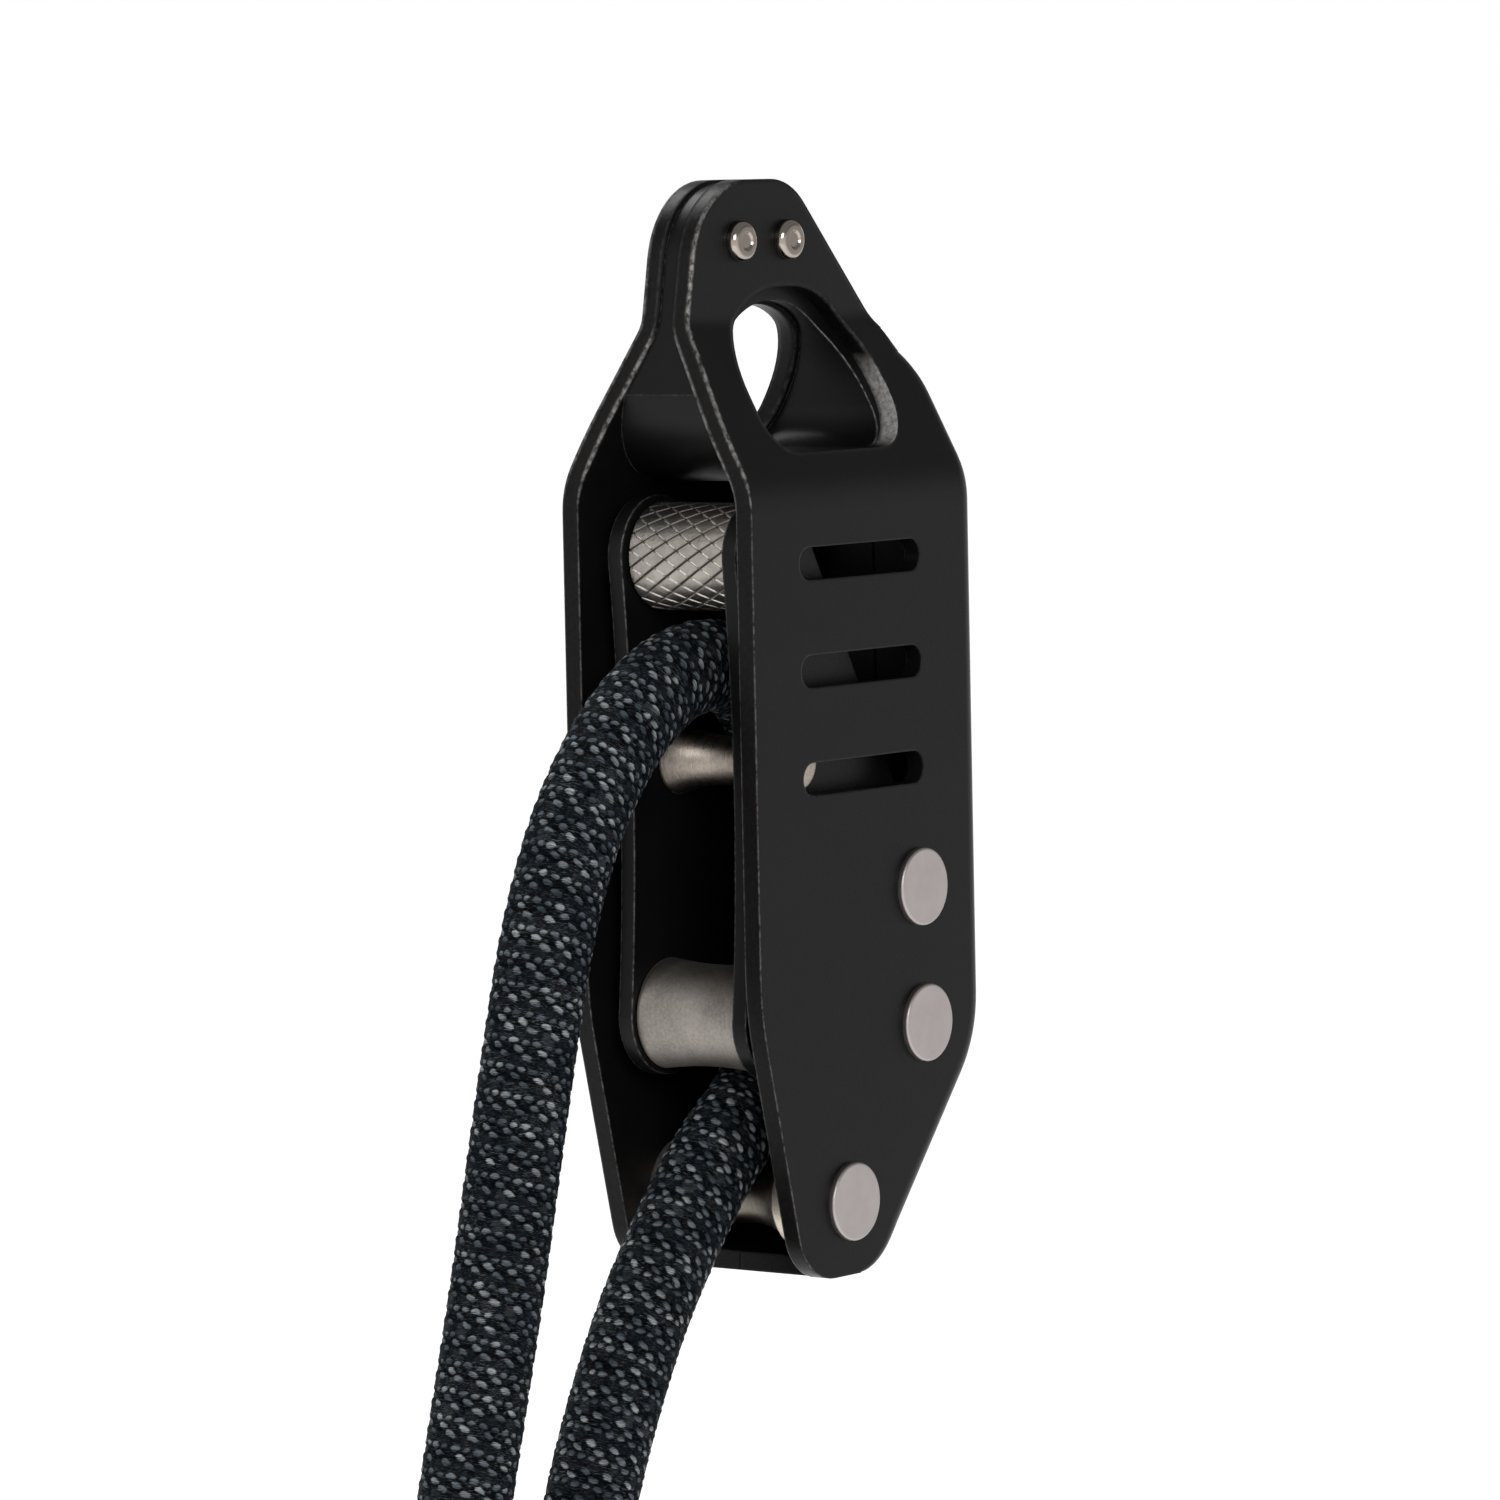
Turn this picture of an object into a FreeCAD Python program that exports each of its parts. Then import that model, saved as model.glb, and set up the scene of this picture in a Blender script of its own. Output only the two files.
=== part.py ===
"""Rope ascender: two pressed half shells riveted round a wedge block, with a swinging carriage inside.

Millimetres, +Z up. The origin is the centre of the carabiner eye, on the mid plane (Y = 0).
X runs across the shells from the open rope side (-X) to the closed spine (+X).
The front shell is on -Y, the back shell is its mirror image on +Y.
"""
import FreeCAD, Part
import math
import os

# ---- shells: sheet and depth ----
SHEET = 2.3                 # thickness of the pressed aluminium sheet
BODY_HALF = 14.1            # mid plane to the outer face of the belly
SPACER_THICK = 2.2          # wedge block between the two flat heads
JOGGLE_TOP = 5.7            # height where the joggle meets the flat head
JOGGLE_BOTTOM = -13.5       # height where the joggle meets the belly
BEND_TOP = 4.0              # inside radius of the upper bend
BEND_BOTTOM = 9.0           # inside radius of the lower bend
RIM_RADIUS = 3.0            # outer rounding of the pressed spine rim
RIM_END_RADIUS = 0.3        # to which the rim's rounding runs out at the head and at the foot
RIM_END_MARGIN = 0.5        # the upper run starts and ends this far inside the joggle
SPINE_GAP = 0.3             # play between the spine walls and the wedge block
PARTING_GAP = 0.05          # half of the hairline between the two spine walls

# ---- shells: outline, seen from the front ----
HEAD_TOP = 22.6
LEFT_HEAD = -16.5           # where the left flank meets the head top
RIGHT_HEAD = 1.3            # where the right shoulder meets the head top
LEFT_EDGE = -21.75          # open, rope side
RIGHT_EDGE = 23.6           # spine side
LEFT_SHOULDER = -7.4        # height where the left flank turns upright
RIGHT_SHOULDER = -1.7       # height where the right shoulder turns upright
LEFT_HIP = -75.0            # height where the left edge starts to run in
RIGHT_HIP = -82.3           # height where the spine starts to run in
FOOT = -107.9               # lowest edge
LEFT_FOOT = -13.8
RIGHT_FOOT = 2.6
HEAD_LEFT_RADIUS = 11.0
HEAD_RIGHT_RADIUS = 9.0
SHOULDER_LEFT_RADIUS = 40.0
SHOULDER_RIGHT_RADIUS = 9.0
HIP_LEFT_RADIUS = 40.0
HIP_RIGHT_RADIUS = 16.0
FOOT_LEFT_RADIUS = 7.0
FOOT_RIGHT_RADIUS = 12.0

# ---- carabiner eye ----
EYE_HALF = 13.75
EYE_TOP = 9.75
EYE_BOTTOM = -9.7
EYE_TOP_FLAT = 2.5          # straight stretch between the two upper corners
EYE_LEFT_STRAIGHT = 2.45    # upright stretch between the left corners
EYE_RIGHT_STRAIGHT = 0.45
BACK_EYE_STEP = 2.3         # the back shell's eye is this much narrower on each side
BACK_EYE_TOP = 7.65
BACK_EYE_BOTTOM = -9.4
BACK_EYE_TOP_FLAT = 0.3
BACK_EYE_STRAIGHT = 0.75

# ---- wedge block between the shells, round the eye ----
SPACER_INSET = 0.4          # the block stays this far inside the shells' edge
SPACER_BOTTOM = -13.3
SPACER_CORNER = 16.0        # rounding of its two lower corners
SPACER_EYE_STEP = 1.45      # its eye is this much narrower than the front one on each side
SPACER_EYE_TOP = 8.1
SPACER_EYE_TOP_FLAT = 0.4
SPACER_EYE_STRAIGHT = 0.8

# ---- slots ----
SLOT_LENGTH = 24.1
SLOT_HEIGHT = 3.9
SLOT_CENTRE = -0.55
SLOT_FIRST = -22.7
SLOT_PITCH = 12.75
SLOT_COUNT = 3

# ---- rivets ----
PIVOT_AXIS = (10.4, -62.7)
STOP_AXIS = (10.9, -79.2)
FOOT_AXIS = (-4.6, -99.1)
FLAT_HEAD_RADIUS = 4.7
FLAT_HEAD_HEIGHT = 0.8
FLAT_HEAD_ROUND = 0.3
SHANK_RADIUS = 2.25
RIVET_PLAY = 0.02           # radial play of a rivet in a hole that it clamps
TOP_RIVET_LEFT = (-9.1, 15.3)
TOP_RIVET_SPACING = 9.4
TOP_RIVET_RADIUS = 2.45
TOP_RIVET_HEIGHT = 1.35
TOP_RIVET_ROUND = 0.9
TOP_RIVET_SHANK = 1.5
TOP_RIVET_DIMPLE = 1.15
TOP_RIVET_DIMPLE_DEPTH = 0.25

# ---- carriage ----
CARRIAGE_PLATE = 2.0
DRUM_AXIS = (-11.75, -22.0)
MIDDLE_AXIS = (-8.55, -46.5)
LOWER_AXIS = (-11.45, -76.9)
DRUM_LOBE = 7.3
PIVOT_LOBE = 6.9
LOWER_LOBE = 7.4
WAIST_EDGE = -17.6          # deepest point of the hollow rope-side edge
CARRIAGE_RIVET_SHANK = 2.0
CARRIAGE_HEAD_RADIUS = 3.5
DRUM_HEAD_RADIUS = 3.0
CARRIAGE_HEAD_HEIGHT = 1.0
HUB_RADIUS = 3.3
RUNNING_PLAY = 0.05         # radial play of everything that turns on a shank
SIDE_PLAY = 0.15            # end play of everything that turns between two faces
WASHER_RADIUS = 5.0
WASHER_THICK = 2.15         # between a carriage plate and a shell

# ---- drum and rollers ----
DRUM_RADIUS = 6.35
DRUM_CHAMFER = 0.4
MIDDLE_FLANGE = 4.3
MIDDLE_WAIST = 2.95
LOWER_FLANGE = 6.65
LOWER_WAIST = 6.1
FOOT_FLANGE = 5.6
FOOT_WAIST = 3.5
COLLAR_RADIUS = 6.0
COLLAR_STEP = 1.0           # the foot collars reach this much further in than the carriage plates
BUSH_WALL = 0.8
STOP_SLEEVE_RADIUS = 3.5

# ---- rope ----
ROPE_RADIUS = 5.5
ROPE_ROUTE = [
    (-66.6, -148.6),
    (-63.1, -134.0),
    (-59.0, -119.5),
    (-54.8, -105.0),
    (-51.3, -91.0),
    (-47.8, -77.5),
    (-43.9, -63.5),
    (-37.8, -50.8),
    (-28.6, -40.6),
    (-18.4, -35.0),
    (-8.2, -34.8),
    (-0.4, -40.6),
    (1.6, -51.5),
    (0.9, -64.5),
    (1.9, -77.2),
    (-3.3, -87.1),
    (-12.6, -93.1),
    (-20.2, -101.4),
    (-26.9, -109.7),
    (-31.9, -118.0),
    (-36.1, -126.4),
    (-39.4, -134.7),
    (-41.9, -142.9),
]
ARC_SHARE = 0.45            # part of a run that its corner arc may use
SLEEVE_WALL = 0.6
SLEEVE_GAP = 0.05
SLEEVE_LENGTH = 5.8
SLEEVE_CAP = 1.2

# ---- worked out from the sizes above ----
HEAD_HALF = SPACER_THICK / 2 + SHEET
BODY_INNER = BODY_HALF - SHEET
CARRIAGE_OUTER_HALF = BODY_INNER - WASHER_THICK - SIDE_PLAY
CARRIAGE_INNER_HALF = CARRIAGE_OUTER_HALF - CARRIAGE_PLATE
COLLAR_INNER = CARRIAGE_INNER_HALF - COLLAR_STEP
REACH = 200.0               # longer than any cut through the part


def vec(x, y, z):
    return FreeCAD.Vector(x, y, z)


def unit(a, b):
    length = math.hypot(b[0] - a[0], b[1] - a[1])
    return ((b[0] - a[0]) / length, (b[1] - a[1]) / length)


def turn_between(u, v):
    """Unsigned angle by which a path turns from direction u to direction v."""
    return math.acos(max(-1.0, min(1.0, u[0] * v[0] + u[1] * v[1])))


def corner_points(before, corner, after, radius):
    """Start, middle and end of the arc that rounds a corner."""
    u = unit(before, corner)
    v = unit(corner, after)
    turn = turn_between(u, v)
    leg = radius * math.tan(turn / 2)
    start = (corner[0] - u[0] * leg, corner[1] - u[1] * leg)
    end = (corner[0] + v[0] * leg, corner[1] + v[1] * leg)
    inward = unit((0.0, 0.0), (v[0] - u[0], v[1] - u[1]))
    rise = radius / math.cos(turn / 2) - radius
    middle = (corner[0] + inward[0] * rise, corner[1] + inward[1] * rise)
    return start, middle, end


def path_edges(points, radii, place, closed):
    """Straight and arc edges through points; place turns a 2-D point into a 3-D vector."""
    count = len(points)
    edges = []
    first = None
    last = None
    for i in range(count):
        rounded = radii[i] > 0 and (closed or 0 < i < count - 1)
        if rounded:
            start, middle, end = corner_points(points[i - 1], points[i], points[(i + 1) % count], radii[i])
        else:
            start = end = points[i]
        if last is not None:
            edges.append(Part.LineSegment(place(last), place(start)).toShape())
        else:
            first = start
        if rounded:
            edges.append(Part.Arc(place(start), place(middle), place(end)).toShape())
        last = end
    if closed:
        edges.append(Part.LineSegment(place(last), place(first)).toShape())
    return edges


def in_front_view(y):
    return lambda p: vec(p[0], y, p[1])


def in_side_view(x):
    return lambda p: vec(x, p[0], p[1])


def prism(points, radii, y0, y1):
    """Outline in the front view, extruded from y0 to y1."""
    wire = Part.Wire(path_edges(points, radii, in_front_view(y0), True))
    return Part.Face(wire).extrude(vec(0, y1 - y0, 0))


def side_prism(points, radii):
    """Outline in the side view (Y, Z), extruded across the whole width."""
    wire = Part.Wire(path_edges(points, radii, in_side_view(-REACH / 2), True))
    return Part.Face(wire).extrude(vec(REACH, 0, 0))


def rod(axis, radius, y0, y1):
    return Part.makeCylinder(radius, y1 - y0, vec(axis[0], y0, axis[1]), vec(0, 1, 0))


def turned(axis, profile):
    """Solid of revolution about a Y axis; profile is a closed list of (radius, y, radius of rounding)."""
    points = [(axis[0] + p[0], p[1]) for p in profile]
    radii = [p[2] for p in profile]
    edges = path_edges(points, radii, lambda p: vec(p[0], p[1], axis[1]), True)
    face = Part.Face(Part.Wire(edges))
    return face.revolve(vec(axis[0], 0, axis[1]), vec(0, 1, 0), 360)


def waisted(axis, half, flange, waist, bore):
    """Roller with a hollow running surface between two flanges of equal radius."""
    x, z = axis
    a = vec(x + flange, -half, z)
    b = vec(x + waist, 0, z)
    c = vec(x + flange, half, z)
    edges = [Part.Arc(a, b, c).toShape()]
    edges.append(Part.LineSegment(c, vec(x + bore, half, z)).toShape())
    edges.append(Part.LineSegment(vec(x + bore, half, z), vec(x + bore, -half, z)).toShape())
    edges.append(Part.LineSegment(vec(x + bore, -half, z), a).toShape())
    face = Part.Face(Part.Wire(edges))
    return face.revolve(vec(x, 0, z), vec(0, 1, 0), 360)


def mirrored(shape):
    return shape.mirror(vec(0, 0, 0), vec(0, 1, 0))


def shell_outline():
    points = [
        (LEFT_HEAD, HEAD_TOP),
        (RIGHT_HEAD, HEAD_TOP),
        (RIGHT_EDGE, RIGHT_SHOULDER),
        (RIGHT_EDGE, RIGHT_HIP),
        (RIGHT_FOOT, FOOT),
        (LEFT_FOOT, FOOT),
        (LEFT_EDGE, LEFT_HIP),
        (LEFT_EDGE, LEFT_SHOULDER),
    ]
    radii = [
        HEAD_LEFT_RADIUS,
        HEAD_RIGHT_RADIUS,
        SHOULDER_RIGHT_RADIUS,
        HIP_RIGHT_RADIUS,
        FOOT_RIGHT_RADIUS,
        FOOT_LEFT_RADIUS,
        HIP_LEFT_RADIUS,
        SHOULDER_LEFT_RADIUS,
    ]
    return points, radii


def inset_corner(before, corner, after, inset):
    """Corner of the same outline moved inwards (the outline runs clockwise)."""
    u = unit(before, corner)
    v = unit(corner, after)
    turn = turn_between(u, v)
    inward = unit((0.0, 0.0), (v[0] - u[0], v[1] - u[1]))
    reach = inset / math.cos(turn / 2)
    return (corner[0] + inward[0] * reach, corner[1] + inward[1] * reach)


def inset_outline(points, radii, inset):
    count = len(points)
    moved = []
    for i in range(count):
        moved.append(inset_corner(points[i - 1], points[i], points[(i + 1) % count], inset))
    return moved, [max(r - inset, 0.0) for r in radii]


def joggle_lean():
    """Angle by which the joggle leans away from upright."""
    return math.atan2(BODY_HALF - HEAD_HALF, JOGGLE_TOP - JOGGLE_BOTTOM)


def sheet_slab(depth, bend_low, bend_high):
    """Everything between the mid plane and the sheet face that lies depth behind the outer face."""
    drop = depth * math.tan(joggle_lean() / 2)
    points = [
        (-BODY_HALF + depth, -REACH),
        (-BODY_HALF + depth, JOGGLE_BOTTOM - drop),
        (-HEAD_HALF + depth, JOGGLE_TOP - drop),
        (-HEAD_HALF + depth, REACH),
        (REACH, REACH),
        (REACH, -REACH),
    ]
    return side_prism(points, [0, bend_low, bend_high, 0, 0, 0])


def eye_prism(half, top, bottom, top_flat, left_straight, right_straight):
    """Eye cut right through; its corners take up what the straight stretches leave."""
    high = half - top_flat / 2
    low_left = top - bottom - high - left_straight
    low_right = top - bottom - high - right_straight
    points = [(-half, top), (half, top), (half, bottom), (-half, bottom)]
    return prism(points, [high, high, low_right, low_left], -REACH / 2, REACH / 2)


def front_eye():
    return eye_prism(EYE_HALF, EYE_TOP, EYE_BOTTOM, EYE_TOP_FLAT, EYE_LEFT_STRAIGHT, EYE_RIGHT_STRAIGHT)


def back_eye():
    return eye_prism(EYE_HALF - BACK_EYE_STEP, BACK_EYE_TOP, BACK_EYE_BOTTOM, BACK_EYE_TOP_FLAT,
                     BACK_EYE_STRAIGHT, BACK_EYE_STRAIGHT)


def spacer_eye():
    return eye_prism(EYE_HALF - SPACER_EYE_STEP, SPACER_EYE_TOP, EYE_BOTTOM, SPACER_EYE_TOP_FLAT,
                     SPACER_EYE_STRAIGHT, SPACER_EYE_STRAIGHT)


def slot_cuts():
    half = SLOT_LENGTH / 2
    rise = SLOT_HEIGHT / 2
    cuts = []
    for i in range(SLOT_COUNT):
        z = SLOT_FIRST - i * SLOT_PITCH
        points = [
            (SLOT_CENTRE - half, z + rise),
            (SLOT_CENTRE + half, z + rise),
            (SLOT_CENTRE + half, z - rise),
            (SLOT_CENTRE - half, z - rise),
        ]
        cuts.append(prism(points, [rise * 0.999] * len(points), -REACH / 2, 0))
    return cuts


def top_rivet_axes():
    x, z = TOP_RIVET_LEFT
    return [(x, z), (x + TOP_RIVET_SPACING, z)]


def rivet_holes():
    holes = [rod(axis, SHANK_RADIUS + RIVET_PLAY, -REACH / 2, REACH / 2)
             for axis in (PIVOT_AXIS, STOP_AXIS, FOOT_AXIS)]
    for axis in top_rivet_axes():
        holes.append(rod(axis, TOP_RIVET_SHANK + RIVET_PLAY, -REACH / 2, REACH / 2))
    return holes


def block(x0, x1, z0, z1):
    """Cutting block across the whole depth."""
    return Part.makeBox(x1 - x0, 2 * REACH, z1 - z0, vec(x0, -REACH, z0))


def corner_centre(before, corner, after, radius):
    """Centre of the arc that rounds a corner."""
    u = unit(before, corner)
    v = unit(corner, after)
    inward = unit((0.0, 0.0), (v[0] - u[0], v[1] - u[1]))
    reach = radius / math.cos(turn_between(u, v) / 2)
    return (corner[0] + inward[0] * reach, corner[1] + inward[1] * reach)


def spine_rim(body, cuts):
    """Front edges of the body that lie in none of the cuts, each a point and the direction across it."""
    found = []
    for edge in body.Edges:
        ends = [v.Point for v in edge.Vertexes]
        across = edge.BoundBox.XLength < 0.01 and edge.BoundBox.ZLength < 0.01
        at_cut = any(all(abs((e.x - x) * nx + (e.z - z) * nz) < 0.01 for e in ends) for (x, z), (nx, nz) in cuts)
        if max(e.y for e in ends) < -PARTING_GAP - 1 and not (across or at_cut):
            found.append(edge)
    return found


def running_out(body, edge, wide_at):
    """Round one edge over, from the full radius at the end nearest wide_at down to the small one."""
    first = edge.valueAt(edge.FirstParameter)
    last = edge.valueAt(edge.LastParameter)
    if (first - wide_at).Length < (last - wide_at).Length:
        return body.makeFillet(RIM_RADIUS, RIM_END_RADIUS, [edge])
    return body.makeFillet(RIM_END_RADIUS, RIM_RADIUS, [edge])


def rim_rounded(body):
    """Round the rim over along the spine; the rounding runs out below the head and round the foot's corner."""
    points, radii = shell_outline()
    lean = joggle_lean()
    slope_top = JOGGLE_TOP - BEND_TOP * math.tan(lean / 2) * math.cos(lean)
    z_none = slope_top - RIM_END_MARGIN
    z_full = corner_points(points[1], points[2], points[3], radii[2])[0][1] + RIM_END_MARGIN
    x_mid = (points[0][0] + points[1][0]) / 2
    heel_start, _, heel_end = corner_points(points[3], points[4], points[5], radii[4])
    heel_centre = corner_centre(points[3], points[4], points[5], radii[4])
    out = unit(heel_centre, heel_start)
    far = (heel_centre[0] + out[0] * REACH, heel_centre[1] + out[1] * REACH)
    under = (heel_end[0], -REACH)
    spine_region = prism([heel_centre, (heel_centre[0], z_full), (REACH, z_full), (REACH, far[1]), far],
                         [0] * 5, -REACH, REACH)
    heel_region = prism([heel_centre, far, (far[0], -REACH), under], [0] * 4, -REACH, REACH)

    head = body.common(block(-REACH, REACH, z_none, REACH))
    left_flank = body.common(block(-REACH, x_mid, z_full, z_none))
    right_flank = body.common(block(x_mid, REACH, z_full, z_none))
    right = body.common(spine_region)
    heel = body.common(heel_region)
    left = body.common(block(-REACH, REACH, -REACH, z_full)).cut([spine_region, heel_region])

    cuts = [(heel_centre, (out[1], -out[0])), (heel_centre, (1.0, 0.0)), ((0.0, z_full), (0.0, 1.0))]
    right = right.makeFillet(RIM_RADIUS, spine_rim(right, cuts))
    slope = [e for e in right_flank.Edges
             if min(e.BoundBox.XLength, e.BoundBox.YLength, e.BoundBox.ZLength) > 0.1]
    right_flank = running_out(right_flank, slope[0], vec(RIGHT_EDGE, -BODY_HALF, z_full))
    corner = [e for e in spine_rim(heel, cuts) if e.BoundBox.YMax < -BODY_HALF + 0.01]
    heel = running_out(heel, corner[0], vec(heel_start[0], -BODY_HALF, heel_start[1]))
    return head.fuse([left_flank, right_flank, left, heel, right]).removeSplitter()


def shell_block():
    """Solid half shell before it is hollowed, with the spine rim rounded over."""
    points, radii = shell_outline()
    body = prism(points, radii, -REACH / 2, -PARTING_GAP)
    return rim_rounded(body.common(sheet_slab(0.0, BEND_BOTTOM + SHEET, BEND_TOP)))


def shell(eye):
    points, radii = shell_outline()
    inner, inner_radii = inset_outline(points, radii, SHEET)
    pocket = prism(inner, inner_radii, -REACH / 2, REACH / 2)
    foot_end = corner_points(points[4], points[5], points[6], radii[5])[0][0]
    wall_top = JOGGLE_TOP - SPINE_GAP
    open_side = block(-REACH, foot_end, -REACH, wall_top)
    head_side = block(-REACH, REACH, wall_top, REACH)
    hollow = pocket.fuse([open_side, head_side]).common(sheet_slab(SHEET, BEND_BOTTOM, BEND_TOP + SHEET))
    body = shell_block().cut(hollow)
    return body.cut([eye] + slot_cuts() + rivet_holes()).removeSplitter()


def wedge_block():
    """Fills the space between the two heads and the two joggles, round the eye, clear of the spine walls."""
    points, radii = shell_outline()
    edge, edge_radii = inset_outline(points, radii, SPACER_INSET)
    wall, wall_radii = inset_outline(points, radii, SHEET + SPINE_GAP)
    right = RIGHT_EDGE - SHEET - SPINE_GAP
    left = LEFT_EDGE + SPACER_INSET
    lower = [(left, REACH), (right, REACH), (right, SPACER_BOTTOM), (left, SPACER_BOTTOM)]
    within_walls = prism(wall, wall_radii, -BODY_HALF, BODY_HALF)
    free = [block(-REACH, REACH, JOGGLE_TOP, REACH), block(-REACH, 0, -REACH, REACH)]
    plate = prism(edge, edge_radii, -BODY_HALF, BODY_HALF).common(within_walls.fuse(free))
    plate = plate.common(prism(lower, [0, 0, SPACER_CORNER, SPACER_CORNER], -BODY_HALF, BODY_HALF))
    space = sheet_slab(SHEET, BEND_BOTTOM, BEND_TOP + SHEET)
    plate = plate.common(space).common(mirrored(space))
    return plate.cut([spacer_eye()] + rivet_holes()).removeSplitter()


def flat_rivet(axis, head_radius, head_height, face, shank):
    """Rivet with a flat head against each of two outer faces."""
    end = face + head_height
    profile = [
        (0.0, -end, 0),
        (head_radius, -end, FLAT_HEAD_ROUND),
        (head_radius, -face, 0),
        (shank, -face, 0),
        (shank, face, 0),
        (head_radius, face, 0),
        (head_radius, end, FLAT_HEAD_ROUND),
        (0.0, end, 0),
    ]
    return turned(axis, profile)


def top_rivet(axis):
    end = HEAD_HALF + TOP_RIVET_HEIGHT
    floor = end - TOP_RIVET_DIMPLE_DEPTH
    profile = [
        (0.0, -floor, 0),
        (TOP_RIVET_DIMPLE - TOP_RIVET_DIMPLE_DEPTH, -floor, 0),
        (TOP_RIVET_DIMPLE, -end, 0),
        (TOP_RIVET_RADIUS, -end, TOP_RIVET_ROUND),
        (TOP_RIVET_RADIUS, -HEAD_HALF, 0),
        (TOP_RIVET_SHANK, -HEAD_HALF, 0),
        (TOP_RIVET_SHANK, HEAD_HALF, 0),
        (TOP_RIVET_RADIUS, HEAD_HALF, 0),
        (TOP_RIVET_RADIUS, end, TOP_RIVET_ROUND),
        (TOP_RIVET_DIMPLE, end, 0),
        (TOP_RIVET_DIMPLE - TOP_RIVET_DIMPLE_DEPTH, floor, 0),
        (0.0, floor, 0),
    ]
    return turned(axis, profile)


def tube(axis, radius, bore, y0, y1):
    return rod(axis, radius, y0, y1).cut(rod(axis, bore, y0 - 1, y1 + 1))


def tangent_side(a, ra, b, rb):
    """Touch points of the common tangent that keeps both circles on its right."""
    ux, uz = unit(a, b)
    gap = math.hypot(b[0] - a[0], b[1] - a[1])
    lift = (rb - ra) / gap
    level = math.sqrt(1 - lift * lift)
    nx = -uz * level - ux * lift
    nz = ux * level - uz * lift
    return (a[0] + nx * ra, a[1] + nz * ra), (b[0] + nx * rb, b[1] + nz * rb)


def carriage_outline_face(y):
    """Three lobes round the drum, the pivot and the lower roller, joined by straight and hollow edges."""
    drum_out, pivot_in = tangent_side(DRUM_AXIS, DRUM_LOBE, PIVOT_AXIS, PIVOT_LOBE)
    pivot_out, lower_in = tangent_side(PIVOT_AXIS, PIVOT_LOBE, LOWER_AXIS, LOWER_LOBE)
    drum_left = (DRUM_AXIS[0] - DRUM_LOBE, DRUM_AXIS[1])
    lower_left = (LOWER_AXIS[0] - LOWER_LOBE, LOWER_AXIS[1])
    waist = (WAIST_EDGE, (DRUM_AXIS[1] + LOWER_AXIS[1]) / 2)
    place = in_front_view(y)

    def far_point(axis, radius, a, b):
        middle = ((a[0] + b[0]) / 2 - axis[0], (a[1] + b[1]) / 2 - axis[1])
        length = math.hypot(middle[0], middle[1])
        return (axis[0] + middle[0] / length * radius, axis[1] + middle[1] / length * radius)

    edges = [
        Part.Arc(place(drum_left), place((DRUM_AXIS[0], DRUM_AXIS[1] + DRUM_LOBE)), place(drum_out)).toShape(),
        Part.LineSegment(place(drum_out), place(pivot_in)).toShape(),
        Part.Arc(place(pivot_in), place(far_point(PIVOT_AXIS, PIVOT_LOBE, pivot_in, pivot_out)),
                 place(pivot_out)).toShape(),
        Part.LineSegment(place(pivot_out), place(lower_in)).toShape(),
        Part.Arc(place(lower_in), place((LOWER_AXIS[0] - LOWER_LOBE * math.sqrt(0.5),
                                         LOWER_AXIS[1] - LOWER_LOBE * math.sqrt(0.5))),
                 place(lower_left)).toShape(),
        Part.Arc(place(lower_left), place(waist), place(drum_left)).toShape(),
    ]
    return Part.Face(Part.Wire(edges))


def carriage_plate():
    y0 = -CARRIAGE_OUTER_HALF
    y1 = -CARRIAGE_INNER_HALF
    plate = carriage_outline_face(y0).extrude(vec(0, y1 - y0, 0))
    holes = [rod(axis, CARRIAGE_RIVET_SHANK + RIVET_PLAY, y0 - 1, y1 + 1)
             for axis in (DRUM_AXIS, MIDDLE_AXIS, LOWER_AXIS)]
    holes.append(rod(PIVOT_AXIS, SHANK_RADIUS + RUNNING_PLAY, y0 - 1, y1 + 1))
    return plate.cut(holes)


def knurled_drum():
    half = CARRIAGE_INNER_HALF
    r = DRUM_RADIUS
    bore = CARRIAGE_RIVET_SHANK + RIVET_PLAY
    profile = [
        (bore, -half, 0),
        (r - DRUM_CHAMFER, -half, 0),
        (r, -half + DRUM_CHAMFER, 0),
        (r, half - DRUM_CHAMFER, 0),
        (r - DRUM_CHAMFER, half, 0),
        (bore, half, 0),
    ]
    return turned(DRUM_AXIS, profile)


def carriage_rivet(axis, head):
    return flat_rivet(axis, head, CARRIAGE_HEAD_HEIGHT, CARRIAGE_OUTER_HALF, CARRIAGE_RIVET_SHANK)


def pivot_washer():
    y0 = -BODY_INNER
    y1 = -CARRIAGE_OUTER_HALF - SIDE_PLAY
    return tube(PIVOT_AXIS, WASHER_RADIUS, SHANK_RADIUS + RIVET_PLAY, y0, y1)


def foot_collar():
    profile = [
        (SHANK_RADIUS + RIVET_PLAY, -BODY_INNER, 0),
        (COLLAR_RADIUS, -BODY_INNER, 0),
        (COLLAR_RADIUS, -COLLAR_INNER, FLAT_HEAD_ROUND),
        (SHANK_RADIUS + RIVET_PLAY, -COLLAR_INNER, 0),
    ]
    return turned(FOOT_AXIS, profile)


def middle_roller():
    half = CARRIAGE_INNER_HALF - SIDE_PLAY
    return waisted(MIDDLE_AXIS, half, MIDDLE_FLANGE, MIDDLE_WAIST, CARRIAGE_RIVET_SHANK + RUNNING_PLAY)


def lower_roller():
    half = CARRIAGE_INNER_HALF - SIDE_PLAY
    bore = CARRIAGE_RIVET_SHANK + RUNNING_PLAY + BUSH_WALL + RIVET_PLAY
    return waisted(LOWER_AXIS, half, LOWER_FLANGE, LOWER_WAIST, bore)


def lower_bush():
    half = CARRIAGE_INNER_HALF - SIDE_PLAY
    inner = CARRIAGE_RIVET_SHANK + RUNNING_PLAY
    return tube(LOWER_AXIS, inner + BUSH_WALL, inner, -half, half)


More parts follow.
